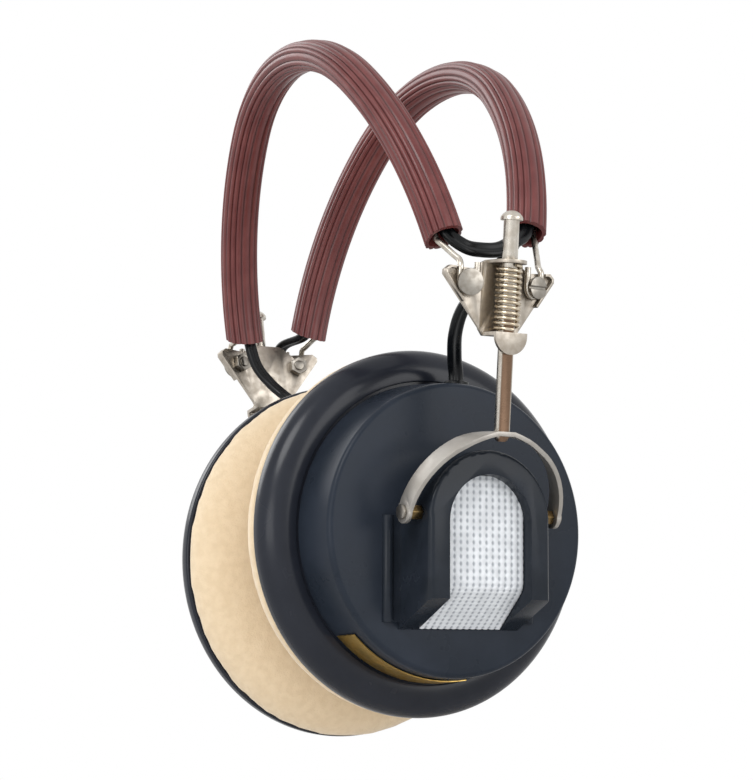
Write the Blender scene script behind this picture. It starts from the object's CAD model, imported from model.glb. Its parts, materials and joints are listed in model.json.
"""Looks of a pair of two-band radio headphones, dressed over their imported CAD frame.

Lengths in the classes are millimetres in the frame of the part: the origin lies midway between
the ears, X runs from ear to ear with the left ear at +X, -Y is the front and Z is up.
"""

from __future__ import annotations

import json
import logging
import math
from dataclasses import dataclass, field
from enum import Enum
from typing import Callable, Sequence

import bpy
from mathutils import Matrix, Vector

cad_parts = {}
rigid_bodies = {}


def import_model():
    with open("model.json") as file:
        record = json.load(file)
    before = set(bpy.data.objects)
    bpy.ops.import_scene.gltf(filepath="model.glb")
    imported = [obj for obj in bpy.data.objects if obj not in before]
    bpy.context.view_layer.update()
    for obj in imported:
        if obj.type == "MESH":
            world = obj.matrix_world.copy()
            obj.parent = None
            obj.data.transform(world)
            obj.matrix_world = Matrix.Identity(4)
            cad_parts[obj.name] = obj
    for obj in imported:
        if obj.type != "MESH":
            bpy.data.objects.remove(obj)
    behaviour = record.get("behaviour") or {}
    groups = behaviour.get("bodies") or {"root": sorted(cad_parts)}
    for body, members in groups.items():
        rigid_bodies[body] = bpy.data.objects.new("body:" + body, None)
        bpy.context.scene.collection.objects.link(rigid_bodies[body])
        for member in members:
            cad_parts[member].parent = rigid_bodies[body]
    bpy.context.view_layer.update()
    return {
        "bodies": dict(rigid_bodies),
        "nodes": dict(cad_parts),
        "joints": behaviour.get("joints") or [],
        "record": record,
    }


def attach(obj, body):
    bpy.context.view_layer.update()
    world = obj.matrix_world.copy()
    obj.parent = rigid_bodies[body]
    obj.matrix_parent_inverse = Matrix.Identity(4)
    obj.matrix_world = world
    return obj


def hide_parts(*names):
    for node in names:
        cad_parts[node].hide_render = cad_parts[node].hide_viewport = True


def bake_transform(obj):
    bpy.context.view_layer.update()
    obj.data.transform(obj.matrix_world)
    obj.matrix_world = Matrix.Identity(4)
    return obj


LOG = logging.getLogger("headphones")
MM = 0.001
# Points that lie closer than this are merged, in metres.
WELD_M = 2e-6
# On a copy of a CAD node, faces that bend less than this are merged, and edges that bend more are broken.
FLAT_DEG = 0.6
SHARP_DEG = 40.0
ROUND_SIDES = 12
TURN_STEPS = 192
LEAD_STEPS = 9
PATCH_DETAIL = 4.0
GRAIN_DETAIL = 3.0
GLOSS_EDGES = (0.3, 0.7)
EVEN = (1.0, 1.0, 1.0)
WHITE = (1.0, 1.0, 1.0, 1.0)
# Sockets of a Mix node that is set to colours.
MIX_FIRST, MIX_SECOND, MIX_RESULT = 6, 7, 2

Rgb = tuple[int, int, int]
Point = tuple[float, float, float]
Pair = tuple[float, float]
Path = list[Vector]


class Side(Enum):
    """The ear that a piece belongs to, with the sign of its X."""

    LEFT = 1
    RIGHT = -1

    @property
    def word(self) -> str:
        """Name of the side as the nodes spell it."""
        return self.name.lower()


class Row(Enum):
    """The band that a piece belongs to, with the sign of its Y."""

    FRONT = -1
    REAR = 1

    @property
    def word(self) -> str:
        """Name of the band as the nodes spell it."""
        return self.name.lower()


class Mark(Enum):
    """What a finish shows besides its patches and grain."""

    NONE = "none"
    GROOVES = "groove"
    WEAVE = "gap"
    RUBBED_SHANK = "rubbed shank"


class Crease(Enum):
    """Angle in degrees past which a kind of piece keeps its edges when it is shaded smooth."""

    BROKEN_EDGE = 30.0
    TURNED = 34.0
    RIBBED = 50.0
    ROUND = 60.0
    PADDED = 70.0
    WOVEN = 80.0


def linear(colour: Rgb) -> tuple[float, float, float, float]:
    """Turn a colour as seen on a screen into the shader's own values.

    Args:
        colour: red, green and blue from 0 to 255.

    Returns:
        Linear red, green, blue and an alpha of 1.
    """
    parts = [c / 255.0 for c in colour]
    flat = [c / 12.92 if c <= 0.04045 else ((c + 0.055) / 1.055) ** 2.4 for c in parts]
    return (flat[0], flat[1], flat[2], 1.0)


@dataclass(frozen=True)
class Finish:
    """A surface finish: two colours in soft patches, a grain, a gloss and at most one special mark.

    The slot is the record's name for what the piece is made of. A rubbed shank is marked below a
    height, over the middle of its width: mark_across is where the mark has faded and where it is full.
    """

    name: str
    colour: Rgb
    patches: Rgb
    patch_mm: float
    patch_edges: Pair = (0.35, 0.7)
    gloss: Pair = (0.4, 0.5)
    grain_mm: float = 0.4
    grain_depth_mm: float = 0.02
    grain_stretch: Point = (1.0, 1.0, 1.0)
    metallic: float = 0.0
    coat: float = 0.0
    coat_gloss: float = 0.1
    sheen: float = 0.0
    specular: float = 0.5
    mark: Mark = Mark.NONE
    mark_colour: Rgb = (128, 128, 128)
    mark_range: Pair = (0.0, 1.0)
    mark_across: Pair = (0.0, 1.0)
    slot: str = ""

    def material(self) -> bpy.types.Material:
        """Make the finish's material, or hand back the one that was made before.

        Returns:
            The node material.
        """
        label = f"{self.name}_finish"
        known = bpy.data.materials.get(label)
        if known:
            return known
        made = bpy.data.materials.new(label)
        made.use_nodes = True
        tree = made.node_tree
        shader = tree.nodes["Principled BSDF"]
        place = tree.nodes.new("ShaderNodeTexCoord")
        patch = self._noise(tree, place.outputs["Object"], self.patch_mm, EVEN, PATCH_DETAIL)
        mix = self._range(tree, patch, self.patch_edges)
        colour = self._mix(tree, mix, linear(self.colour), linear(self.patches))
        if self.mark is not Mark.NONE:
            colour = self._mix(tree, self._mark_share(tree, place), colour, linear(self.mark_colour))
        tree.links.new(colour, shader.inputs["Base Color"])
        tree.links.new(self._range(tree, patch, GLOSS_EDGES, self.gloss), shader.inputs["Roughness"])
        grain = self._noise(tree, place.outputs["Object"], self.grain_mm, self.grain_stretch, GRAIN_DETAIL)
        bump = tree.nodes.new("ShaderNodeBump")
        bump.inputs["Strength"].default_value = 1.0
        bump.inputs["Distance"].default_value = self.grain_depth_mm * MM
        tree.links.new(grain, bump.inputs["Height"])
        tree.links.new(bump.outputs["Normal"], shader.inputs["Normal"])
        shader.inputs["Metallic"].default_value = self.metallic
        shader.inputs["Coat Weight"].default_value = self.coat
        shader.inputs["Coat Roughness"].default_value = self.coat_gloss
        shader.inputs["Sheen Weight"].default_value = self.sheen
        shader.inputs["Specular IOR Level"].default_value = self.specular
        return made

    def _mark_share(self, tree: bpy.types.NodeTree, place: bpy.types.Node) -> bpy.types.NodeSocket:
        """Share of the mark's colour at a point.

        Args:
            tree: the material's node tree.
            place: its texture coordinates.

        Returns:
            A socket from 0 to 1.
        """
        if self.mark is Mark.RUBBED_SHANK:
            split = tree.nodes.new("ShaderNodeSeparateXYZ")
            tree.links.new(place.outputs["Object"], split.inputs["Vector"])
            low, high = self.mark_range
            faded, full = self.mark_across
            down = self._range(tree, split.outputs["Z"], (high * MM, low * MM))
            off_centre = tree.nodes.new("ShaderNodeMath")
            off_centre.operation = "ABSOLUTE"
            tree.links.new(split.outputs["Y"], off_centre.inputs[0])
            middle = self._range(tree, off_centre.outputs[0], (faded * MM, full * MM))
            both = tree.nodes.new("ShaderNodeMath")
            both.operation = "MULTIPLY"
            tree.links.new(down, both.inputs[0])
            tree.links.new(middle, both.inputs[1])
            return both.outputs[0]
        layer = tree.nodes.new("ShaderNodeAttribute")
        layer.attribute_name = self.mark.value
        return self._range(tree, layer.outputs["Fac"], self.mark_range)

    @staticmethod
    def _noise(
        tree: bpy.types.NodeTree, vector: bpy.types.NodeSocket, size_mm: float, stretch: Point, detail: float
    ) -> bpy.types.NodeSocket:
        """Add a noise of a real size.

        Args:
            tree: the material's node tree.
            vector: coordinates in metres.
            size_mm: size of its blotches.
            stretch: how much the blotches shrink along each axis.
            detail: octaves of finer noise.

        Returns:
            The noise's value.
        """
        mapping = tree.nodes.new("ShaderNodeMapping")
        mapping.inputs["Scale"].default_value = stretch
        noise = tree.nodes.new("ShaderNodeTexNoise")
        noise.inputs["Scale"].default_value = 1.0 / (size_mm * MM)
        noise.inputs["Detail"].default_value = detail
        tree.links.new(vector, mapping.inputs["Vector"])
        tree.links.new(mapping.outputs["Vector"], noise.inputs["Vector"])
        return noise.outputs["Fac"]

    @staticmethod
    def _range(
        tree: bpy.types.NodeTree, value: bpy.types.NodeSocket, source: Pair, target: Pair = (0.0, 1.0)
    ) -> bpy.types.NodeSocket:
        """Map a value from one range to another, with a soft start and end.

        Args:
            tree: the material's node tree.
            value: the socket to map.
            source: its low and high values.
            target: what they become.

        Returns:
            The mapped socket.
        """
        mapped = tree.nodes.new("ShaderNodeMapRange")
        mapped.interpolation_type = "SMOOTHSTEP"
        mapped.inputs["From Min"].default_value = source[0]
        mapped.inputs["From Max"].default_value = source[1]
        mapped.inputs["To Min"].default_value = target[0]
        mapped.inputs["To Max"].default_value = target[1]
        tree.links.new(value, mapped.inputs["Value"])
        return mapped.outputs["Result"]

    @staticmethod
    def _mix(
        tree: bpy.types.NodeTree, share: bpy.types.NodeSocket, first: object, second: object
    ) -> bpy.types.NodeSocket:
        """Mix two colours.

        Args:
            tree: the material's node tree.
            share: share of the second colour.
            first: a colour or a colour socket.
            second: the other colour.

        Returns:
            The mixed colour's socket.
        """
        mix = tree.nodes.new("ShaderNodeMix")
        mix.data_type = "RGBA"
        tree.links.new(share, mix.inputs["Factor"])
        for socket, value in ((mix.inputs[MIX_FIRST], first), (mix.inputs[MIX_SECOND], second)):
            if isinstance(value, bpy.types.NodeSocket):
                tree.links.new(value, socket)
            else:
                socket.default_value = value
        return mix.outputs[MIX_RESULT]


SHELL_GLOSS = Finish(
    "shell_gloss", (30, 33, 41), (36, 39, 47), 20, gloss=(0.2, 0.28), grain_mm=0.9,
    grain_depth_mm=0.004, coat=0.08, coat_gloss=0.14, specular=0.2, slot="shell_gloss")
CAN_SATIN = Finish(
    "can_satin", (36, 42, 51), (42, 48, 58), 16, gloss=(0.26, 0.34), grain_mm=0.5,
    grain_depth_mm=0.006, specular=0.12, slot="can_satin")
HOUSING_SATIN = Finish(
    "housing_satin", (30, 35, 42), (36, 41, 49), 8, gloss=(0.2, 0.28), grain_mm=0.45,
    grain_depth_mm=0.007, specular=0.17, slot="can_satin")
GRILLE_WEAVE = Finish(
    "grille_weave", (230, 233, 237), (216, 219, 223), 3.0, gloss=(0.5, 0.62), grain_mm=0.12,
    grain_depth_mm=0.03, sheen=0.15, mark=Mark.WEAVE, mark_colour=(158, 163, 170),
    mark_range=(0.2, 0.8), slot="grille_weave")
PAD_SUEDE = Finish(
    "pad_suede", (233, 212, 180), (226, 204, 171), 2.2, (0.32, 0.7), gloss=(0.85, 0.95), grain_mm=0.5,
    grain_depth_mm=0.16, sheen=0.35, specular=0.25, slot="pad_suede")
SLEEVE_VINYL = Finish(
    "sleeve_vinyl", (98, 45, 44), (110, 56, 54), 7, gloss=(0.3, 0.38), grain_mm=0.3,
    grain_depth_mm=0.012, specular=0.4, mark=Mark.GROOVES, mark_colour=(70, 29, 28),
    mark_range=(0.35, 1.0), slot="sleeve_vinyl")
LEAD_RUBBER = Finish(
    "lead_rubber", (10, 12, 14), (14, 16, 19), 6, gloss=(0.24, 0.34), grain_mm=0.35,
    grain_depth_mm=0.006, specular=0.22, slot="lead_rubber")
BAIL_NICKEL = Finish(
    "bail_nickel", (178, 174, 168), (164, 159, 152), 6.0, gloss=(0.4, 0.5), grain_mm=0.25,
    grain_depth_mm=0.004, metallic=0.85, slot="nickel")
BRACKET_NICKEL = Finish(
    "bracket_nickel", (180, 172, 161), (160, 151, 139), 2.2, gloss=(0.32, 0.46), grain_mm=0.25,
    grain_depth_mm=0.012, metallic=1.0, slot="nickel")
ROD_NICKEL = Finish(
    "rod_nickel", (206, 200, 190), (184, 176, 164), 2.5, gloss=(0.24, 0.36), grain_mm=0.2,
    grain_depth_mm=0.004, grain_stretch=(1.0, 1.0, 0.1), metallic=1.0, mark=Mark.RUBBED_SHANK,
    mark_colour=(124, 100, 82), mark_range=(52.0, 58.0), mark_across=(1.9, 1.35), slot="nickel")
SCREW_STEEL = Finish(
    "screw_steel", (156, 151, 143), (136, 130, 121), 1.8, gloss=(0.28, 0.4), grain_mm=0.25,
    grain_depth_mm=0.006, metallic=1.0, slot="screw_steel")
SPRING_GILT = Finish(
    "spring_gilt", (208, 195, 174), (186, 171, 147), 1.6, gloss=(0.16, 0.26), grain_mm=0.2,
    grain_depth_mm=0.002, metallic=1.0, slot="brassy")
NUT_BRASS = Finish(
    "nut_brass", (124, 104, 70), (100, 82, 52), 1.6, gloss=(0.26, 0.38), grain_mm=0.2,
    grain_depth_mm=0.005, metallic=1.0, slot="brassy")
WIRE_STEEL = Finish(
    "wire_steel", (204, 198, 188), (176, 168, 156), 2.0, gloss=(0.22, 0.34), grain_mm=0.2,
    grain_depth_mm=0.003, metallic=1.0, slot="spring_wire")
LABEL_GOLD = Finish(
    "label_gold", (212, 178, 104), (188, 150, 78), 2.4, gloss=(0.3, 0.42), grain_mm=0.2,
    grain_depth_mm=0.004, grain_stretch=(0.2, 1.0, 1.0), metallic=1.0, slot="label_brass")
SCREEN_CLOTH = Finish(
    "screen_cloth", (42, 42, 44), (56, 55, 55), 1.1, gloss=(0.8, 0.9), grain_mm=0.25, grain_depth_mm=0.08)
HARDBOARD = Finish("hardboard", (128, 92, 60), (104, 72, 46), 2.5, gloss=(0.7, 0.8), grain_depth_mm=0.04)
RING_PLASTIC = Finish("ring_plastic", (60, 60, 62), (70, 70, 72), 6)
FRAME_STEEL = Finish("frame_steel", (120, 120, 120), (100, 100, 100), 5, metallic=0.6)
MAGNET_IRON = Finish("magnet_iron", (72, 72, 74), (88, 86, 84), 4, gloss=(0.5, 0.65), metallic=0.7)
COIL_COPPER = Finish("coil_copper", (190, 118, 78), (160, 92, 58), 2, gloss=(0.3, 0.4), metallic=1.0)
CONE_PAPER = Finish("cone_paper", (66, 58, 50), (82, 72, 62), 2, gloss=(0.85, 0.95), grain_depth_mm=0.05)
FELT = Finish("felt", (140, 140, 134), (122, 122, 117), 1.5, gloss=(0.9, 0.98), grain_depth_mm=0.1)


class Bench:
    """Modelling steps that every sub-assembly shares, done with Blender's own operators."""

    @staticmethod
    def clear() -> None:
        """Leave edit mode and deselect everything."""
        if bpy.context.mode != "OBJECT":
            bpy.ops.object.mode_set(mode="OBJECT")
        bpy.ops.object.select_all(action="DESELECT")

    @staticmethod
    def pick(piece: bpy.types.Object) -> None:
        """Make one piece the selected and active one."""
        Bench.clear()
        piece.select_set(True)
        bpy.context.view_layer.objects.active = piece

    @staticmethod
    def edit(piece: bpy.types.Object, *steps: Callable[[], object]) -> None:
        """Run edit-mode steps on all of a piece.

        Args:
            piece: the mesh to edit.
            steps: operators to call in turn, each on what is selected.
        """
        Bench.pick(piece)
        bpy.ops.object.mode_set(mode="EDIT")
        bpy.ops.mesh.select_mode(type="VERT")
        bpy.ops.mesh.select_all(action="SELECT")
        for step in steps:
            step()
        bpy.ops.object.mode_set(mode="OBJECT")

    @staticmethod
    def place(piece: bpy.types.Object, points: Sequence[Vector]) -> None:
        """Put the vertices of a mesh at points given in millimetres."""
        flat = [c * MM for p in points for c in p]
        piece.data.vertices.foreach_set("co", flat)
        piece.data.update()

    @staticmethod
    def named(name: str) -> bpy.types.Object:
        """Name the object that an operator has just added."""
        piece = bpy.context.object
        piece.name = name
        piece.data.name = name
        piece.location = (0.0, 0.0, 0.0)
        return piece

    @staticmethod
    def grid(name: str, columns: int, rows: int) -> bpy.types.Object:
        """Add a grid of vertices, to be placed along rows of columns."""
        Bench.clear()
        bpy.ops.mesh.primitive_grid_add(x_subdivisions=columns - 1, y_subdivisions=rows - 1, size=1.0)
        return Bench.named(name)

    @staticmethod
    def weld() -> None:
        """Merge doubled points and turn the faces outwards."""
        bpy.ops.mesh.remove_doubles(threshold=WELD_M)
        bpy.ops.mesh.normals_make_consistent(inside=False)

    @staticmethod
    def cap() -> None:
        """Close the open ends of a tube."""
        bpy.ops.mesh.remove_doubles(threshold=WELD_M)
        bpy.ops.mesh.select_all(action="DESELECT")
        bpy.ops.mesh.select_mode(type="EDGE")
        bpy.ops.mesh.select_non_manifold()
        bpy.ops.mesh.fill_holes(sides=0)
        bpy.ops.mesh.select_mode(type="VERT")
        bpy.ops.mesh.select_all(action="SELECT")
        bpy.ops.mesh.normals_make_consistent(inside=False)

    @staticmethod
    def smooth(piece: bpy.types.Object, crease: Crease) -> None:
        """Shade a piece smooth, apart from its sharp edges."""
        Bench.pick(piece)
        bpy.ops.object.shade_smooth_by_angle(angle=math.radians(crease.value))

    @staticmethod
    def apply(piece: bpy.types.Object, kind: str, **settings: object) -> None:
        """Add a modifier with its settings and apply it.

        Args:
            piece: the mesh to finish.
            kind: Blender's name of the modifier.
            settings: its properties.
        """
        Bench.pick(piece)
        modifier = piece.modifiers.new(kind.lower(), kind)
        for key, value in settings.items():
            setattr(modifier, key, value)
        bpy.ops.object.modifier_apply(modifier=modifier.name)

    @staticmethod
    def tube(name: str, rings: Sequence[Sequence[Vector]], closed: bool = False) -> bpy.types.Object:
        """Roll a grid into a tube through rings of points.

        Args:
            name: name of the piece.
            rings: rings in order, all with as many points.
            closed: whether the last ring runs back into the first, as in a hollow tube.

        Returns:
            The tube, welded, with its ends capped unless it is closed.
        """
        rows = [*rings, rings[0]] if closed else list(rings)
        piece = Bench.grid(name, len(rows[0]) + 1, len(rows))
        Bench.place(piece, [p for ring in rows for p in (*ring, ring[0])])
        Bench.edit(piece, Bench.weld if closed else Bench.cap)
        return piece

    @staticmethod
    def round_tube(name: str, rings: Sequence[Sequence[Vector]], finish: Finish) -> bpy.types.Object:
        """Make a round wire or a lead in its finish, through rings of points.

        Args:
            name: name of the piece.
            rings: rings in order, all with as many points.
            finish: the piece's finish.

        Returns:
            The dressed tube.
        """
        piece = Bench.tube(name, rings)
        Bench.smooth(piece, Crease.ROUND)
        Bench.dress(piece, finish)
        return piece

    @staticmethod
    def turned(name: str, profile: Sequence[Pair], side: Side, steps: int = TURN_STEPS) -> bpy.types.Object:
        """Spin a closed profile about the ear axis.

        Args:
            name: name of the piece.
            profile: points as radius and distance outwards from the middle of the head.
            side: the ear that it belongs to.
            steps: copies of the profile round the axis.

        Returns:
            The turned solid.
        """
        Bench.clear()
        bpy.ops.mesh.primitive_circle_add(vertices=len(profile), radius=1.0, fill_type="NOTHING")
        piece = Bench.named(name)
        Bench.place(piece, [Vector((side.value * x, 0.0, r)) for r, x in profile])

        def spin() -> None:
            bpy.ops.mesh.spin(steps=steps, angle=math.tau, center=(0.0, 0.0, 0.0), axis=(1.0, 0.0, 0.0))

        Bench.edit(piece, spin, Bench.weld)
        return piece

    @staticmethod
    def refined(node: bpy.types.Object, edge_mm: float, segments: int = 2) -> bpy.types.Object:
        """Copy a CAD node, merge its triangles and break its sharp edges.

        Args:
            node: the CAD node's object.
            edge_mm: width of the broken edges.
            segments: faces across a broken edge.

        Returns:
            The copy, which stands for the node.
        """
        piece = bpy.data.objects.new(f"{node.name}_dressed", node.data.copy())
        piece.data.name = piece.name
        piece.data.materials.clear()
        bpy.context.scene.collection.objects.link(piece)

        def merge() -> None:
            bpy.ops.mesh.remove_doubles(threshold=WELD_M)
            bpy.ops.mesh.dissolve_limited(angle_limit=math.radians(FLAT_DEG))

        Bench.edit(piece, merge)
        Bench.apply(piece, "BEVEL", width=edge_mm * MM, segments=segments, limit_method="ANGLE",
                    angle_limit=math.radians(SHARP_DEG), use_clamp_overlap=True, miter_outer="MITER_ARC")
        Bench.smooth(piece, Crease.BROKEN_EDGE)
        return piece

    @staticmethod
    def dress(piece: bpy.types.Object, finish: Finish) -> None:
        """Give a piece its finish and name the record's slot for it."""
        piece.data.materials.clear()
        piece.data.materials.append(finish.material())
        LOG.info("%s: %s, %d faces", piece.name, finish.name, len(piece.data.polygons))


class Route:
    """Smooth curves and the sections that are swept along them, in millimetres."""

    RIB_POWER = 0.75
    OBLONG_POWER = 0.8

    @staticmethod
    def through(points: Sequence[Sequence[float]], steps: int) -> Path:
        """Curve through points that were chosen by hand.

        Args:
            points: the points in order.
            steps: pieces between two points.

        Returns:
            Points along the curve.
        """
        marks = [Vector(p) for p in points]
        last = len(marks) - 1
        path: Path = []
        for i in range(last):
            a, b, c, d = marks[max(i - 1, 0)], marks[i], marks[i + 1], marks[min(i + 2, last)]
            for k in range(steps):
                t = k / steps
                path.append(0.5 * (2 * b + (c - a) * t + (2 * a - 5 * b + 4 * c - d) * t * t
                                   + (3 * b - a - 3 * c + d) * t * t * t))
        return [*path, marks[last]]

    @staticmethod
    def heading(path: Path, i: int) -> Vector:
        """Direction of a curve at one of its points."""
        return (path[min(i + 1, len(path) - 1)] - path[max(i - 1, 0)]).normalized()

    @staticmethod
    def rings(
        path: Path, wide: Vector, section: Sequence[Pair], held: bool = False, slant: float = 0.0
    ) -> list[list[Vector]]:
        """Rings of a section along a curve.

        Args:
            path: the curve.
            wide: direction of the section's second coordinate at the start.
            section: points as distance across and distance along the wide direction.
            held: whether the wide direction stays near the first one, or is carried along the curve.
            slant: slope at which both end rings are cut.

        Returns:
            One ring of points for each point of the curve.
        """
        made = []
        carried = wide.normalized()
        for i, centre in enumerate(path):
            along = Route.heading(path, i)
            start = wide if held else carried
            carried = (start - start.dot(along) * along).normalized()
            across = along.cross(carried)
            cut = slant if i == 0 else -slant if i == len(path) - 1 else 0.0
            made.append([centre + q[0] * (across + cut * along) + q[1] * carried for q in section])
        return made

    @staticmethod
    def circle(radius: float, count: int) -> list[Pair]:
        """Points of a round section."""
        turn = math.tau / count
        return [(radius * math.sin(k * turn), radius * math.cos(k * turn)) for k in range(count)]

    @staticmethod
    def twin(width: float, thick: float, count: int = 11, reach_deg: float = 136.0) -> list[Pair]:
        """Points of a flat twin lead: two round conductors with a web between them.

        Args:
            width: width of the lead.
            thick: its thickness.
            count: points round each conductor.
            reach_deg: angle at which a conductor's round runs into the web.

        Returns:
            Section points.
        """
        r = thick / 2
        middle = width / 2 - r
        points: list[Pair] = []
        for sign in (1, -1):
            for k in range(count):
                a = math.radians(-reach_deg + 2 * reach_deg * k / (count - 1))
                points.append((sign * r * math.sin(a), sign * (middle + r * math.cos(a))))
        return points

    @staticmethod
    def rib_dip(k: int, per_rib: int) -> float:
        """Depth below the ribs' crests at a point of a ribbed section, from 0 to 1."""
        return 1.0 - abs(math.cos(math.pi * k / per_rib)) ** Route.RIB_POWER

    @staticmethod
    def ribbed(half_t: float, half_w: float, ribs: int, rib_h: float, per_rib: int) -> list[Pair]:
        """Points of a rounded oblong with lengthwise ribs.

        Args:
            half_t: half the thickness.
            half_w: half the width.
            ribs: ribs all round.
            rib_h: height of a rib.
            per_rib: points on each rib.

        Returns:
            Section points.
        """
        points: list[Pair] = []
        count = ribs * per_rib
        for k in range(count):
            a = math.tau * k / count
            dip = -rib_h * Route.rib_dip(k, per_rib)
            c, s = math.cos(a), math.sin(a)
            points.append((math.copysign(abs(c) ** Route.OBLONG_POWER, c) * (half_t + dip),
                           math.copysign(abs(s) ** Route.OBLONG_POWER, s) * (half_w + dip)))
        return points


def quarter(c: Pair, rx: float, ry: float, start: float, end: float, count: int) -> list[Pair]:
    """Points of an elliptic corner of a turned profile.

    Args:
        c: its centre as radius and distance outwards.
        rx: reach along the radius.
        ry: reach along the axis.
        start: first angle in degrees.
        end: last angle in degrees.
        count: steps between them.

    Returns:
        Profile points.
    """
    angles = [math.radians(start + (end - start) * i / count) for i in range(count + 1)]
    return [(c[0] + rx * math.cos(a), c[1] + ry * math.sin(a)) for a in angles]


@dataclass(frozen=True)
class Bracketry:
    """Where the bracket, its wings and the rod stand, from the part's own sizes."""

    at: Point = (68.0, 0.0, 64.8)
    lean_deg: float = 8.5
    fold_y: float = 6.2
    wing_sweep_deg: float = 10.0
    screw_along: float = 4.0
    screw_z: float = -1.4
    rod_x: float = 3.9
    ear_z: float = 4.1
    spring_wire_r: float = 0.45
    spring_r: float = 3.15
    spring_pitch: float = 1.42
    spring_turns: int = 12
    spring_steps: int = 28
    spring_gap: float = 0.06
    hook_x: float = 0.95
    hook_r: float = 2.4
    hook_steps: int = 12
    hook_tip_z: float = 5.4
    hook_leg_z: float = 2.5
    hook_rise: tuple[Pair, Pair] = ((0.05, 4.2), (-1.1, 5.8))

    def point(self, p: Point) -> Vector:
        """A point of the left bracket's own frame in the frame of the part."""
        c, s = math.cos(math.radians(self.lean_deg)), math.sin(math.radians(self.lean_deg))
        return Vector(self.at) + Vector((p[0] * c + p[2] * s, p[1], p[2] * c - p[0] * s))

    def wing_point(self, row: Row, p: Point) -> Vector:
        """A point measured from a clamp screw on a wing of the left bracket."""
        c, s = math.cos(math.radians(self.wing_sweep_deg)), math.sin(math.radians(self.wing_sweep_deg))
        along = self.screw_along + p[1]
        return self.point((p[0] * c - along * s, row.value * (self.fold_y + along * c + p[0] * s),
                           self.screw_z + p[2]))

    def hook(self, row: Row) -> Path:
        """Points of a wire's left end, from the tip of its hook to the foot of the arch."""
        x, r, leg = self.hook_x, self.hook_r, self.hook_leg_z
        angles = [math.radians(180 * i / self.hook_steps) for i in range(self.hook_steps + 1)]
        turn = [(x, -r * math.cos(a), -r * math.sin(a)) for a in angles]
        rise = [(x + dx, r, z) for dx, z in self.hook_rise]
        marks = [(x, -r, self.hook_tip_z), (x, -r, leg), *turn, (x, r, leg), *rise]
        return [self.wing_point(row, p) for p in marks]

    def friction_spring(self, side: Side) -> bpy.types.Object:
        """Wind the spring round a hanger rod.

        Args:
            side: the ear that it belongs to.

        Returns:
            The coil as one round tube.
        """
        per_turn = self.spring_steps
        top = self.ear_z - self.spring_wire_r - self.spring_gap
        path = []
        for i in range(self.spring_turns * per_turn + 1):
            a = math.tau * i / per_turn
            spot = self.point((self.rod_x + self.spring_r * math.cos(a), self.spring_r * math.sin(a),
                               top - self.spring_pitch * i / per_turn))
            path.append(Vector((side.value * spot.x, spot.y, spot.z)))
        section = Route.circle(self.spring_wire_r, ROUND_SIDES)
        rings = Route.rings(path, Vector((0, 0, 1)), section, held=True)
        return Bench.round_tube(f"{side.word}_friction_coil", rings, SPRING_GILT)


@dataclass
class Hangers:
    """Brackets, screws, springs, rods and bails of both sides."""

    nodes: dict[str, bpy.types.Object]
    bracketry: Bracketry = field(default_factory=Bracketry)
    bodies: dict[str, str] = field(default_factory=dict)

    def build(self) -> None:
        """Dress the metalwork of both sides."""
        parts = (
            ("bracket", 0.16, BRACKET_NICKEL),
            ("clamp_screws", 0.18, SCREW_STEEL),
            ("clamp_nuts", 0.2, SCREW_STEEL),
            ("hanger_rod", 0.16, ROD_NICKEL),
            ("bail", 0.2, BAIL_NICKEL),
            ("pivot_screws", 0.25, SCREW_STEEL),
            ("pivot_nuts", 0.22, NUT_BRASS),
        )
        for side in Side:
            for part, edge_mm, finish in parts:
                node = f"{side.word}_{part}"
                piece = Bench.refined(self.nodes[node], edge_mm)
                Bench.dress(piece, finish)
                self.stand(piece, node)
            self.stand(self.bracketry.friction_spring(side), f"{side.word}_friction_spring")

    def stand(self, piece: bpy.types.Object, node: str) -> None:
        """Let a dressed piece ride on its node's body and stand for the node."""
        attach(piece, self.bodies[node])
        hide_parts(node)


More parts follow.
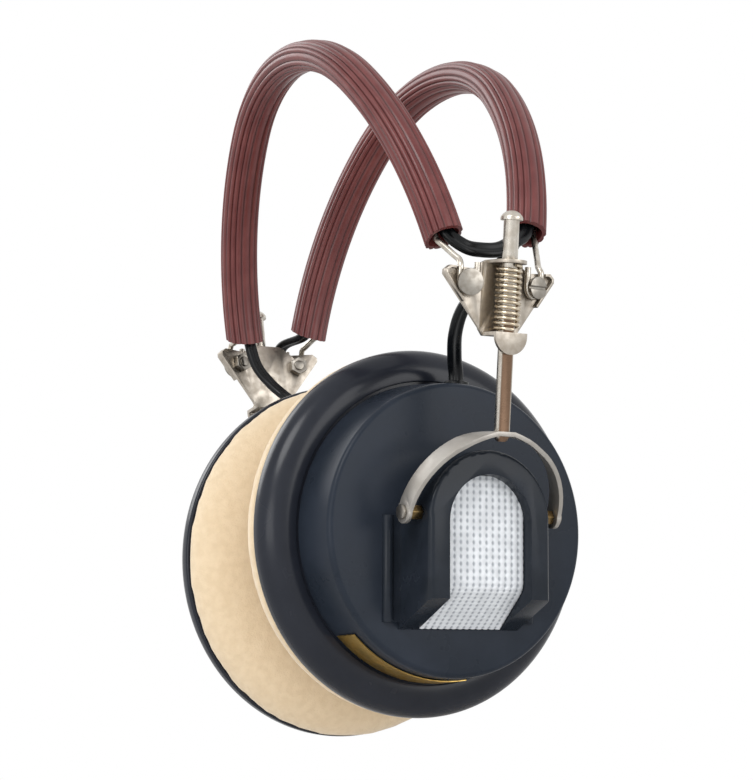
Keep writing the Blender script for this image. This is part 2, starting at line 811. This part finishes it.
@dataclass
class Headband:
    """Two spring wires in ribbed sleeves, with the twin leads that run inside them."""

    bracketry: Bracketry = field(default_factory=Bracketry)
    arch_half_w: float = 61.5
    arch_rise: float = 77.0
    crown_r: float = 50.0
    tilt_deg: float = 11.4
    twist_deg: float = 2.2
    band_y: float = 10.1
    band_z: float = 65.1
    sleeve_w: float = 11.2
    sleeve_t: float = 9.0
    sleeve_wall: float = 1.1
    ribs: int = 16
    rib_h: float = 0.45
    rib_points: int = 6
    wire_r: float = 0.85
    wire_shift: float = 2.6
    mouth_slant_deg: float = 20.0
    lead_w: float = 4.4
    lead_t: float = 2.2
    lead_shift: float = -1.0
    rear_lead_shift: float = 1.5
    foot_steps: int = 5
    hook_curve_steps: int = 3
    sleeve_ends: dict[Row, Pair] = field(
        default_factory=lambda: {Row.FRONT: (12, 5), Row.REAR: (15.6, 8)})
    lead_ends: dict[Row, Pair] = field(
        default_factory=lambda: {Row.FRONT: (20.6, 13.6), Row.REAR: (24.8, 16.8)})
    bend_half: float = 48.0

    @property
    def side_r(self) -> float:
        """Radius of the arch's side arcs, which meet the crown arc smoothly."""
        half_w, lift = self.arch_half_w, self.arch_rise - self.crown_r
        return (half_w ** 2 + lift ** 2 - self.crown_r ** 2) / (2 * (half_w - self.crown_r))

    def half_width(self, v: float) -> float:
        """Half-width of the arch at a height on its side arcs."""
        return self.arch_half_w - self.side_r + math.sqrt(self.side_r ** 2 - v ** 2)

    def point(self, row: Row, u: float, v: float, w: float) -> Vector:
        """A point of a band: u sideways, v up the band's surface, w outwards from it."""
        tilt = math.radians(self.tilt_deg + self.twist_deg * u / self.arch_half_w)
        c, s = math.cos(tilt), math.sin(tilt)
        return Vector((u, row.value * (self.band_y + v * s + w * c), self.band_z + v * c - w * s))

    def out(self, row: Row) -> Vector:
        """Outward direction of a band."""
        tilt = math.radians(self.tilt_deg)
        return Vector((0.0, row.value * math.cos(tilt), -math.sin(tilt)))

    def arch(
        self, row: Row, ends: Pair, w: float, shift: float = 0.0, side_n: int = 26, crown_n: int = 34
    ) -> Path:
        """Points of an arch.

        Args:
            row: the band.
            ends: height above the brackets of the left end and of the right end.
            w: distance outwards from the band's plane.
            shift: distance outwards from the arch's own line.
            side_n: steps along each side arc.
            crown_n: steps along the crown arc.

        Returns:
            Points from the left end to the right end.
        """
        r, lift = self.side_r, self.arch_rise - self.crown_r
        join = math.atan2(lift, r - self.arch_half_w)
        first, last = math.asin(ends[0] / r), math.asin(ends[1] / r)
        uv: list[Pair] = []
        for i in range(side_n):
            a = first + (join - first) * i / side_n
            uv.append((self.arch_half_w - r + (r + shift) * math.cos(a), (r + shift) * math.sin(a)))
        for i in range(crown_n):
            a = join + (math.pi - 2 * join) * i / crown_n
            uv.append(((self.crown_r + shift) * math.cos(a), lift + (self.crown_r + shift) * math.sin(a)))
        for i in range(side_n + 1):
            a = math.pi - join + (join - last) * i / side_n
            uv.append((r - self.arch_half_w + (r + shift) * math.cos(a), (r + shift) * math.sin(a)))
        return [self.point(row, u, v, w) for u, v in uv]

    def sleeve(self, row: Row) -> bpy.types.Object:
        """Roll a ribbed sleeve, hollow for the wire and the lead.

        Args:
            row: the band.

        Returns:
            The sleeve, with a layer that tells its grooves from its ribs.
        """
        per_rib = self.rib_points
        half_t, half_w, wall = self.sleeve_t / 2, self.sleeve_w / 2, self.sleeve_wall
        path = self.arch(row, self.sleeve_ends[row], 0.0)
        outer = Route.ribbed(half_t, half_w, self.ribs, self.rib_h, per_rib)
        bore = Route.ribbed(half_t - wall, half_w - wall, self.ribs, 0.0, per_rib)
        out = self.out(row)
        slant = -row.value * math.tan(math.radians(self.mouth_slant_deg))
        skin = Route.rings(path, out, outer, held=True, slant=slant)
        hollow = Route.rings(path, out, bore, held=True, slant=slant)
        piece = Bench.tube(f"{row.word}_sleeve_vinyl", [*skin, *reversed(hollow)], closed=True)
        layer = piece.data.attributes.new(Mark.GROOVES.value, "FLOAT", "POINT")
        spots = {self._key(p): Route.rib_dip(k, per_rib) for ring in skin for k, p in enumerate(ring)}
        layer.data.foreach_set("value", [spots.get(self._key(v.co / MM), 0.0) for v in piece.data.vertices])
        Bench.smooth(piece, Crease.RIBBED)
        Bench.dress(piece, SLEEVE_VINYL)
        return piece

    @staticmethod
    def _key(p: Vector) -> tuple[int, int, int]:
        """A point rounded to a hundredth of a millimetre, to find it again."""
        return (round(p.x * 100), round(p.y * 100), round(p.z * 100))

    def wire(self, row: Row) -> bpy.types.Object:
        """Bend a spring wire: the arch, and a hook under a clamp screw at each end.

        Args:
            row: the band.

        Returns:
            The wire as one round tube.
        """
        hook = self.bracketry.hook(row)
        far = [Vector((-p.x, p.y, p.z)) for p in reversed(hook)]
        arch = self.arch(row, self.sleeve_ends[row], self.wire_shift)
        shares = [k / self.foot_steps for k in range(1, self.foot_steps)]
        near_run = [hook[-1].lerp(arch[0], share) for share in shares]
        far_run = [arch[-1].lerp(far[0], share) for share in shares]
        steps = self.hook_curve_steps
        near = Route.through([*hook, *near_run, arch[0], arch[1]], steps)[:-steps - 1]
        tail = Route.through([arch[-2], arch[-1], *far_run, *far], steps)[steps + 1:]
        section = Route.circle(self.wire_r, ROUND_SIDES)
        rings = Route.rings([*near, *arch, *tail], Vector((1, 0, 0)), section)
        return Bench.round_tube(f"{row.word}_wire_round", rings, WIRE_STEEL)

    def band_lead(self, row: Row, shift: float, name: str) -> bpy.types.Object:
        """Lay a twin lead inside a sleeve.

        Args:
            row: the band.
            shift: distance outwards from the arch's own line.
            name: name of the piece.

        Returns:
            The lead.
        """
        path = self.arch(row, self.lead_ends[row], self.lead_shift, shift, side_n=18, crown_n=22)
        rings = Route.rings(path, self.out(row), Route.twin(self.lead_w, self.lead_t), held=True)
        return Bench.round_tube(name, rings, LEAD_RUBBER)

    def flex(self, piece: bpy.types.Object, node: str) -> None:
        """Let a piece bend over the crown when the band is spread.

        Args:
            piece: the wire, sleeve or lead.
            node: the CAD node that it stands for.
        """
        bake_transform(piece)
        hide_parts(node)

    def build(self) -> None:
        """Make the bands."""
        for row in Row:
            self.flex(self.sleeve(row), f"{row.word}_sleeve")
            self.flex(self.wire(row), f"{row.word}_wire")
        self.flex(self.band_lead(Row.FRONT, 0.0, "front_inner_lead"), "front_band_lead")
        apart = self.rear_lead_shift
        for shift, name in ((-apart, "rear_inner_lead_a"), (apart, "rear_inner_lead_b")):
            self.flex(self.band_lead(Row.REAR, shift, name), "rear_band_lead")


@dataclass(frozen=True)
class CupHang:
    """How a cup hangs in its bail at rest: tilted a little about its pivots, the same way on both sides."""

    pivot: Point = (54.0, 0.0, 3.5)
    tilt_deg: float = 3.3

    def matrix(self, side: Side) -> Matrix:
        """Move from a cup's square place to where it hangs, in metres."""
        spot = Vector((side.value * self.pivot[0], self.pivot[1], self.pivot[2])) * MM
        turn = Matrix.Rotation(math.radians(self.tilt_deg), 4, "Y")
        return Matrix.Translation(spot) @ turn @ Matrix.Translation(-spot)

    def point(self, side: Side, p: Point) -> Vector:
        """A point given outwards from the middle of the head, as the cup hangs."""
        return self.matrix(side) @ (Vector((side.value * p[0], p[1], p[2])) * MM) / MM


@dataclass(frozen=True)
class LeadRun:
    """A twin lead between a cup and a sleeve, in three lengths that each bend across one joint.

    The cuts count marks along the route. The ends are where the first length starts to leave the cup and
    where the last one has come to rest on the band.
    """

    node: str
    side: Side
    marks: tuple[Sequence[float], ...]
    cup_cut: float
    arm_cut: float
    cup_end: Point
    arm_end: Point

    def build(self, width: float, thick: float) -> None:
        """Sweep the lead and cut it where its lengths follow other bodies.

        Args:
            width: width of the lead.
            thick: its thickness.
        """
        path = Route.through(self.marks, LEAD_STEPS)
        rings = Route.rings(path, Vector((0, 1, 0)), Route.twin(width, thick))
        word = self.side.word
        arm = "left_arm" if self.side is Side.LEFT else "headband"
        low, high = round(self.cup_cut * LEAD_STEPS), round(self.arm_cut * LEAD_STEPS)
        lengths = (
            ("by_cup", rings[: low + 1], f"{word}_cup", f"{word}_yoke", self.cup_end, path[low]),
            ("between", rings[low: high + 1], f"{word}_yoke", f"{word}_hanger", path[low], path[high]),
            ("by_band", rings[high:], f"{word}_hanger", arm, path[high], self.arm_end),
        )
        for label, part, lower, upper, start, end in lengths:
            piece = Bench.round_tube(f"{self.node}_{label}", part, LEAD_RUBBER)
            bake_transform(piece)
            if label == "between":
                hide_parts(self.node)


@dataclass
class Leads:
    """The twin leads that show between the cups and the sleeves."""

    band: Headband
    hang: CupHang = field(default_factory=CupHang)
    can_r: float = 41.0
    left_gland: Pair = (36.0, 3.5)
    right_gland: Pair = (36.0, -2.0)
    rear_gland: Pair = (34.2, 10.0)
    gland_reach: Pair = (-2.5, 2.5)
    rear_gland_reach: Pair = (-4.5, 2.0)

    def gland(self, side: Side, at: Pair, reach: Pair) -> list[Vector]:
        """First two points of a lead, inside a can's wall and outside it.

        Args:
            side: the ear that the can belongs to.
            at: the hole's distance outwards from the middle of the head, and its Y.
            reach: the two points' distances outwards from the wall.

        Returns:
            The points as the cup hangs.
        """
        return [self.hang.point(side, (at[0], at[1], self.can_r + d)) for d in reach]

    def on_band(self, row: Row, side: Side, up: float, off: float = 0.0, drop: float = 0.0,
                sunk: float = 0.0) -> Vector:
        """A point of a lead in or near a sleeve's mouth.

        Args:
            row: the band.
            side: the end of the band.
            up: height above the bracket.
            off: distance outwards from the arch's own line.
            drop: distance below that height.
            sunk: distance inwards from where leads lie in a sleeve.

        Returns:
            The point.
        """
        band = self.band
        across = side.value * (band.half_width(up) + off)
        return band.point(row, across, up - drop, band.lead_shift - sunk)

    def build(self) -> None:
        """Make every lead in the open."""
        left, right, front, rear = Side.LEFT, Side.RIGHT, Row.FRONT, Row.REAR
        left_gland = self.gland(left, self.left_gland, self.gland_reach)
        right_gland = self.gland(right, self.right_gland, self.gland_reach)
        rear_gland = self.gland(right, self.rear_gland, self.rear_gland_reach)
        runs = (
            LeadRun("left_cup_lead", left, (
                *left_gland, (40.6, 1.8, 48.4), (47.6, -2, 54), (53, -2.4, 60), (57.5, 1.6, 66),
                (59.5, 7, 73), self.on_band(rear, left, 16, -1.7), self.on_band(rear, left, 24, -1.5)),
                cup_cut=3, arm_cut=4, cup_end=left_gland[1], arm_end=(59.2, 9, 76)),
            LeadRun("right_cup_lead", right, (
                *right_gland, (-42.6, -1.2, 46.4), (-51.6, -1.5, 51), (-56, -5, 56), (-58.5, -8.5, 62),
                self.on_band(front, right, 8, -0.8, drop=3), self.on_band(front, right, 13)),
                cup_cut=2, arm_cut=2.4, cup_end=right_gland[1], arm_end=(-54.5, -3.5, 54)),
            LeadRun("right_rear_lead", right, (
                *rear_gland, (-39.4, 10.5, 45.2), (-59.4, 9.2, 48), (-74, 7.9, 54), (-75.5, 6.9, 62),
                (-71.5, 7.3, 70.6), self.on_band(rear, right, 8, 0.6), self.on_band(rear, right, 16)),
                cup_cut=2, arm_cut=2.33, cup_end=rear_gland[1], arm_end=(-62, 9, 49)),
        )
        for run in runs:
            run.build(self.band.lead_w, self.band.lead_t)
        self.crossover()

    def crossover(self) -> None:
        """Lay the lead that crosses behind the left bracket from sleeve to sleeve."""
        band, left = self.band, Side.LEFT
        marks = (
            self.on_band(Row.FRONT, left, 20), self.on_band(Row.FRONT, left, 13, 0.4, sunk=0.4),
            (62.6, -7.6, 74.4), (62.9, -2.5, 73.8), (63.2, 3, 74.4), (63, 8, 77.2),
            self.on_band(Row.REAR, left, 16, 1.2), self.on_band(Row.REAR, left, 24, 1.5),
        )
        path = Route.through(marks, LEAD_STEPS)
        rings = Route.rings(path, band.out(Row.FRONT), Route.twin(band.lead_w, band.lead_t))
        piece = Bench.round_tube("crossover_twin_lead", rings, LEAD_RUBBER)
        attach(piece, "left_arm")
        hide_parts("crossover_lead")


@dataclass
class Cup:
    """One ear cup: shell, can, vent housing, grille cloth, pad and what lies inside."""

    side: Side
    nodes: dict[str, bpy.types.Object]
    hang: CupHang = field(default_factory=CupHang)
    flange_r: float = 51.0
    can_r: float = 41.0
    shell_lip_x: float = 20.5
    shell_lip_w: float = 2.7
    shell_lip_r: float = 0.8
    rim_x: float = 22.4
    rim_wall: float = 0.6
    shoulder_x: float = 28.4
    shoulder_w: float = 7.5
    shoulder_edge_r: float = 0.3
    shelf_x: float = 27.7
    step_gap: float = 0.8
    shelf_t: float = 1.8
    shelf_w: float = 3.5
    can_face_x: float = 43.0
    can_taper: float = 0.9
    label_x: Pair = (29.4, 37.9)
    label_turn: Pair = (-46.0, 8.0)
    label_proud: float = 0.45
    label_t: float = 0.25
    can_wall: float = 2.2
    can_edge_r: float = 1.6
    can_face_t: float = 2.0
    can_face_land: float = 8.0
    can_seat_gap: float = 0.05
    vent_hole_r: float = 9.0
    pad_base_x: float = 19.2
    pad_crest_x: float = 9.0
    pad_r: float = 51.6
    pad_skirt_x: float = 20.3
    pad_skirt_w: float = 2.6
    pad_edge_r: float = 1.2
    pad_side_x: float = 18.6
    pad_crest_r: float = 36.5
    ear_hollow_r: float = 23.0
    ear_hollow_w: float = 3.2
    ear_hollow_hem: float = 1.2
    pad_slack: float = 0.7
    pad_steps: int = 120
    pad_voxel: float = 2.2
    pad_held_w: float = 0.8
    fill_quality: int = 6
    fill_pressure: float = 4.0
    fill_frames: int = 20
    cloth_x: float = 55.7
    cloth_t: float = 0.5
    cloth_tuck: float = 0.45
    cloth_half: float = 12.7
    cloth_arch_z: float = 1.2
    cloth_bend_z: float = -16.3
    cloth_foot: Pair = (43.85, -26.8)
    cord_pitch: float = 2.0
    row_pitch: float = 1.9
    ramp_pitch: float = 1.45
    fold_reach: float = 2.4
    weave_h: float = 0.32
    cord_power: float = 0.55
    pick_floor: float = 0.35
    gap_power: float = 0.8
    gap_floor: float = 0.38

    @property
    def body(self) -> str:
        """Name of the cup's body."""
        return f"{self.side.word}_cup"

    def stand(self, piece: bpy.types.Object, node: str, finish: Finish) -> None:
        """Dress a piece that stands for one of this cup's nodes.

        Args:
            piece: the new piece, where it belongs.
            node: the node's name without its side.
            finish: the piece's finish.
        """
        Bench.dress(piece, finish)
        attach(piece, self.body)
        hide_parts(f"{self.side.word}_{node}")

    def hang_up(self, piece: bpy.types.Object, node: str, finish: Finish) -> None:
        """Move a piece from the cup's square place to where the cup hangs, and let it stand for a node."""
        piece.data.transform(self.hang.matrix(self.side))
        self.stand(piece, node, finish)

    def shell(self) -> None:
        """Turn the dished shell with its rounded flange."""
        r, w, foot = self.flange_r, self.shoulder_w, self.can_r + self.step_gap
        lip, edge, inner = self.shell_lip_r, self.shoulder_edge_r, self.can_r - self.shelf_w
        under = self.shelf_x - self.shelf_t
        profile = [
            (r - self.shell_lip_w, self.shell_lip_x),
            *quarter((r - lip, self.shell_lip_x + lip), lip, lip, -90, 0, 6),
            *quarter((r - w, self.rim_x), w, self.shoulder_x - self.rim_x, 0, 90, 24),
            *quarter((foot + edge, self.shoulder_x - edge), edge, edge, 90, 180, 4),
            (foot, self.shelf_x), (inner, self.shelf_x), (inner, under), (r - w, under),
            (r - self.shell_lip_w, self.rim_x - self.rim_wall),
        ]
        piece = Bench.turned(f"{self.side.word}_shell_turned", profile, self.side)
        Bench.smooth(piece, Crease.TURNED)
        self.hang_up(piece, "cup_shell", SHELL_GLOSS)

    def can(self) -> None:
        """Turn the can with its rounded edge."""
        r, x, edge = self.can_r, self.can_face_x, self.can_edge_r
        face_r, under = r - self.can_taper, x - self.can_face_t
        seat = self.shelf_x + self.can_seat_gap
        profile = [
            (self.vent_hole_r, under), (self.vent_hole_r, x), (face_r - edge - self.can_face_land, x),
            *quarter((face_r - edge, x - edge), edge, edge, 90, 0, 10),
            (r, seat), (r - self.can_wall, seat), (face_r - self.can_wall, under),
        ]
        piece = Bench.turned(f"{self.side.word}_can_turned", profile, self.side)
        Bench.smooth(piece, Crease.TURNED)
        self.hang_up(piece, "can", CAN_SATIN)

    def housing(self) -> None:
        """Break the edges of the vent housing and of the leads' grommets."""
        parts = (("vent_housing", 0.5, HOUSING_SATIN), ("lead_grommet", 0.25, LEAD_RUBBER))
        for part, edge_mm, finish in parts:
            node = self.nodes[f"{self.side.word}_{part}"]
            self.stand(Bench.refined(node, edge_mm, segments=3), part, finish)

    def label(self) -> None:
        """Lay the bare label strip on the can's wall."""
        columns, rows = 61, 7
        piece = Bench.grid(f"{self.side.word}_label_foil", columns, rows)
        wall = self.can_face_x - self.can_edge_r - self.shelf_x
        points = []
        for j in range(rows):
            x = self.label_x[0] + (self.label_x[1] - self.label_x[0]) * j / (rows - 1)
            r = self.can_r - self.can_taper * (x - self.shelf_x) / wall + self.label_proud
            for i in range(columns):
                turn = self.label_turn[0] + (self.label_turn[1] - self.label_turn[0]) * i / (columns - 1)
                a = math.radians(turn)
                points.append(Vector((self.side.value * x, r * math.sin(a), -r * math.cos(a))))
        Bench.place(piece, points)
        Bench.apply(piece, "SOLIDIFY", thickness=self.label_t * MM, offset=0.0)
        Bench.edit(piece, lambda: bpy.ops.mesh.normals_make_consistent(inside=False))
        Bench.smooth(piece, Crease.TURNED)
        self.hang_up(piece, "label_strip", LABEL_GOLD)

    def cloth(self) -> None:
        """Weave the grille cloth: plump cords in rows, bent back to the can at the foot."""
        fold = (self.cloth_x, self.cloth_bend_z)
        flat = self.cloth_arch_z + self.cloth_half - self.cloth_bend_z
        ramp = math.dist(fold, self.cloth_foot)
        slope = Vector((self.cloth_foot[0] - fold[0], 0, self.cloth_foot[1] - fold[1])) / ramp
        columns, rows = 104, 190
        piece = Bench.grid(f"{self.side.word}_grille_weave", columns, rows)
        points, gaps = [], []
        for j in range(rows):
            past = (flat + ramp) * j / (rows - 1) - flat
            base, normal = self._cloth_row(past, slope)
            pitch = self.ramp_pitch if past > 0 else self.row_pitch
            pick = abs(math.sin(math.pi * (past / pitch + 0.5)))
            for i in range(columns):
                y = self.cloth_half * (2 * i / (columns - 1) - 1)
                cord = abs(math.cos(math.pi * y / self.cord_pitch))
                plump = self.pick_floor + (1.0 - self.pick_floor) * pick ** self.cord_power
                spot = base + normal * (self.weave_h * (cord ** self.cord_power * plump - 1.0))
                points.append(Vector((self.side.value * spot.x, y, spot.z)))
                open_share = self.gap_floor + (1.0 - self.gap_floor) * (1.0 - pick ** 2)
                gaps.append((1.0 - cord) ** self.gap_power * open_share)
        Bench.place(piece, points)
        layer = piece.data.attributes.new(Mark.WEAVE.value, "FLOAT", "POINT")
        layer.data.foreach_set("value", gaps)
        self._trim_arch(piece)
        Bench.smooth(piece, Crease.WOVEN)
        Bench.apply(piece, "SOLIDIFY", thickness=self.cloth_t * MM, offset=-1.0)
        self.hang_up(piece, "grille_cloth", GRILLE_WEAVE)

    def _cloth_row(self, past: float, slope: Vector) -> tuple[Vector, Vector]:
        """Where a row of the cloth lies, with a round fold between the flat part and the ramp.

        Args:
            past: distance down the cloth past the fold, less than 0 above it.
            slope: direction of the ramp.

        Returns:
            The row's middle and the direction that its face looks in.
        """
        reach = self.fold_reach
        bend = min(1.0, max(0.0, past / (2 * reach) + 0.5))
        folding = 0.0 < bend < 1.0
        above = reach * (1 - bend) ** 2 if folding else max(0.0, -past)
        below = reach * bend ** 2 if folding else max(0.0, past)
        base = Vector((self.cloth_x, 0, self.cloth_bend_z + above)) + slope * below
        normal = Vector((1, 0, 0)).lerp(Vector((-slope.z, 0, slope.x)), bend).normalized()
        return base, normal

    def _trim_arch(self, piece: bpy.types.Object) -> None:
        """Cut the cloth to the arch of the window and turn its face outwards.

        Args:
            piece: the cloth as a flat weave.
        """
        reach = self.cloth_half + self.cloth_tuck
        mesh = piece.data
        outside = [math.hypot(f.center.y / MM, f.center.z / MM - self.cloth_arch_z) > reach
                   and f.center.z / MM > self.cloth_arch_z for f in mesh.polygons]
        Bench.edit(piece, lambda: bpy.ops.mesh.select_all(action="DESELECT"))
        mesh.vertices.foreach_set("select", [False] * len(mesh.vertices))
        mesh.edges.foreach_set("select", [False] * len(mesh.edges))
        mesh.polygons.foreach_set("select", outside)
        bpy.ops.object.mode_set(mode="EDIT")
        bpy.ops.mesh.select_mode(type="FACE")
        bpy.ops.mesh.delete(type="FACE")
        bpy.ops.object.mode_set(mode="OBJECT")
        facing = sum(f.normal.x * f.area for f in mesh.polygons) * self.side.value
        if facing < 0:
            Bench.edit(piece, bpy.ops.mesh.flip_normals)

    def pad_profile(self) -> list[Pair]:
        """Profile of the ear pad, slack by a little so that the filling can round it."""
        s = self.pad_slack
        base, crest = self.pad_base_x, self.pad_crest_x + s
        outer, inner = self.pad_r - s, self.ear_hollow_r + s
        skirt, edge, top_r = outer - self.pad_skirt_w, self.pad_edge_r, self.pad_crest_r
        hollow_x = base - self.ear_hollow_w
        return [
            (skirt, base), (skirt, self.pad_skirt_x),
            *quarter((outer - edge, self.pad_skirt_x - edge), edge, edge, 90, 0, 6),
            *quarter((top_r, self.pad_side_x), outer - top_r, self.pad_side_x - crest, 0, -90, 16),
            *quarter((top_r, hollow_x), top_r - inner, hollow_x - crest, -90, -180, 12),
            (self.ear_hollow_r + self.ear_hollow_hem, base),
        ]

    def pad(self) -> None:
        """Fill the ear pad's cover by pressure, with its skirt held on the ring."""
        name = f"{self.side.word}_pad_cushion"
        piece = Bench.turned(name, self.pad_profile(), self.side, self.pad_steps)
        piece.data.remesh_voxel_size = self.pad_voxel * MM
        Bench.pick(piece)
        bpy.ops.object.voxel_remesh()
        rest = [v.co.copy() for v in piece.data.vertices]
        held = piece.vertex_groups.new(name="skirt")
        edge = (self.pad_base_x - self.pad_held_w) * MM
        held.add([v.index for v in piece.data.vertices if abs(v.co.x) > edge], 1.0, "REPLACE")
        self._inflate(piece, held.name)
        self._hold(piece, rest)
        Bench.apply(piece, "SMOOTH", factor=0.5, iterations=3)
        Bench.apply(piece, "SUBSURF", levels=1, render_levels=1)
        Bench.smooth(piece, Crease.PADDED)
        self.hang_up(piece, "ear_pad", PAD_SUEDE)

    def _inflate(self, piece: bpy.types.Object, held: str) -> None:
        """Run the cover as cloth under pressure and keep the result.

        Args:
            piece: the slack cushion.
            held: vertex group of the skirt.
        """
        Bench.pick(piece)
        cloth = piece.modifiers.new("filling", "CLOTH")
        cloth.settings.quality = self.fill_quality
        cloth.settings.use_pressure = True
        cloth.settings.uniform_pressure_force = self.fill_pressure
        cloth.settings.vertex_group_mass = held
        cloth.settings.effector_weights.gravity = 0.0
        cloth.point_cache.frame_end = self.fill_frames
        scene = bpy.context.scene
        for frame in range(1, self.fill_frames + 1):
            scene.frame_set(frame)
        bpy.ops.object.modifier_apply(modifier=cloth.name)
        scene.frame_set(1)

    def _hold(self, piece: bpy.types.Object, rest: Sequence[Vector]) -> None:
        """Cap how far the filling moved any point of the cover.

        Args:
            piece: the filled cushion.
            rest: its points before filling.
        """
        reach = self.pad_slack * MM
        for vertex, start in zip(piece.data.vertices, rest):
            moved = vertex.co - start
            if moved.length > reach:
                vertex.co = start + moved * (reach / moved.length)

    def inside(self) -> None:
        """Give the pieces inside the cup their finishes."""
        finishes = {
            "baffle": HARDBOARD, "pad_ring": RING_PLASTIC, "ring_screws": SCREW_STEEL,
            "dust_screen": SCREEN_CLOTH, "driver_frame": FRAME_STEEL, "magnet": MAGNET_IRON,
            "voice_coil": COIL_COPPER, "cone": CONE_PAPER, "terminal_strip": HARDBOARD, "damping_felt": FELT,
        }
        for part, finish in finishes.items():
            node = self.nodes[f"{self.side.word}_{part}"]
            if not node.data.materials:
                node.data.materials.append(finish.material())
            for place in node.material_slots:
                place.link = "OBJECT"
                place.material = finish.material()
            LOG.info("%s: %s", node.name, finish.name)

    def build(self) -> None:
        """Make the cup."""
        self.shell()
        self.can()
        self.housing()
        if self.side is Side.LEFT:
            self.label()
        self.cloth()
        self.pad()
        self.inside()


@dataclass(frozen=True)
class Lamp:
    """A soft round lamp that looks at the part."""

    name: str
    at: Point
    across: float
    watts: float

    def hang(self, target: Vector) -> None:
        """Add the lamp and turn it to a point in millimetres."""
        Bench.clear()
        bpy.ops.object.light_add(type="AREA", location=[c * MM for c in self.at])
        lamp = bpy.context.object
        lamp.name = f"lamp_{self.name}"
        lamp.data.shape = "DISK"
        lamp.data.size = self.across * MM
        lamp.data.energy = self.watts
        aim = target - Vector(self.at)
        lamp.rotation_euler = aim.to_track_quat("-Z", "Y").to_euler()


@dataclass(frozen=True)
class Studio:
    """Camera, lamps, backdrop and floor."""

    camera_at: Point = (592.1, -342.8, -65.8)
    looks_at: Point = (0.0, 0.3, 45.6)
    roll_deg: float = -1.46
    focal_px: float = 2400.0
    frame_px: tuple[int, int] = (753, 780)
    sensor_mm: float = 36.0
    nearest_mm: float = 10.0
    surround: float = 0.5
    floor_z: float = -75.0
    floor_side: float = 1600.0
    floor_grey: float = 0.86
    floor_rough: float = 0.8
    lamps: tuple[Lamp, ...] = (
        Lamp("key", (700.0, -900.0, 900.0), 700.0, 9.0),
        Lamp("fill", (1100.0, 500.0, 300.0), 800.0, 4.0),
        Lamp("back", (-900.0, -500.0, 700.0), 800.0, 5.0),
        Lamp("low", (500.0, -700.0, -40.0), 500.0, 1.8),
    )

    def camera(self) -> None:
        """Set the camera where the photograph was taken from."""
        spot, target = Vector(self.camera_at), Vector(self.looks_at)
        back = (spot - target).normalized()
        right = (-back).cross(Vector((0, 0, 1))).normalized()
        up = right.cross(-back)
        c, s = math.cos(math.radians(self.roll_deg)), math.sin(math.radians(self.roll_deg))
        across, above = c * right + s * up, c * up - s * right
        Bench.clear()
        bpy.ops.object.camera_add()
        eye = bpy.context.object
        eye.name = "photo_camera"
        turn = Matrix((across, above, back)).transposed().to_4x4()
        eye.matrix_world = Matrix.Translation(spot * MM) @ turn
        eye.data.sensor_fit = "AUTO"
        eye.data.sensor_width = self.sensor_mm
        eye.data.lens = self.focal_px * self.sensor_mm / max(self.frame_px)
        eye.data.clip_start = self.nearest_mm * MM
        bpy.context.scene.camera = eye

    def light(self) -> None:
        """Hang the soft lamps and paint the world white."""
        for lamp in self.lamps:
            lamp.hang(Vector(self.looks_at))
        scene = bpy.context.scene
        world = bpy.data.worlds.new("white_surround")
        scene.world = world
        world.use_nodes = True
        tree = world.node_tree
        shown = tree.nodes["Background"]
        shown.inputs["Color"].default_value = WHITE
        soft = tree.nodes.new("ShaderNodeBackground")
        soft.inputs["Color"].default_value = WHITE
        soft.inputs["Strength"].default_value = self.surround
        ray = tree.nodes.new("ShaderNodeLightPath")
        mix = tree.nodes.new("ShaderNodeMixShader")
        seen = ray.outputs["Is Camera Ray"]
        for kind in ("Is Glossy Ray", "Is Transmission Ray"):
            either = tree.nodes.new("ShaderNodeMath")
            either.operation = "MAXIMUM"
            tree.links.new(seen, either.inputs[0])
            tree.links.new(ray.outputs[kind], either.inputs[1])
            seen = either.outputs["Value"]
        tree.links.new(seen, mix.inputs["Fac"])
        tree.links.new(soft.outputs["Background"], mix.inputs[1])
        tree.links.new(shown.outputs["Background"], mix.inputs[2])
        tree.links.new(mix.outputs["Shader"], tree.nodes["World Output"].inputs["Surface"])
        scene.view_settings.view_transform = "Standard"

    def floor(self) -> None:
        """Lay a plain pale floor under the part."""
        Bench.clear()
        bpy.ops.mesh.primitive_plane_add(size=self.floor_side * MM, location=(0.0, 0.0, self.floor_z * MM))
        plane = bpy.context.object
        plane.name = "studio_floor"
        paint = bpy.data.materials.new("pale_floor")
        paint.use_nodes = True
        shader = paint.node_tree.nodes["Principled BSDF"]
        grey = self.floor_grey
        shader.inputs["Base Color"].default_value = (grey, grey, grey, 1.0)
        shader.inputs["Roughness"].default_value = self.floor_rough
        plane.data.materials.append(paint)

    def build(self) -> None:
        """Make the studio."""
        self.camera()
        self.light()
        self.floor()


def main() -> None:
    """Load the frame and dress it."""
    logging.basicConfig(level=logging.INFO, format="%(name)s: %(message)s")
    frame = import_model()
    members = frame["record"]["behaviour"]["bodies"]
    bodies = {node: body for body, nodes in members.items() for node in nodes}
    Studio().build()
    band = Headband()
    band.build()
    Leads(band).build()
    Hangers(frame["nodes"], bodies=bodies).build()
    for side in Side:
        Cup(side, frame["nodes"]).build()
    Bench.clear()


if __name__ == "__main__":
    main()
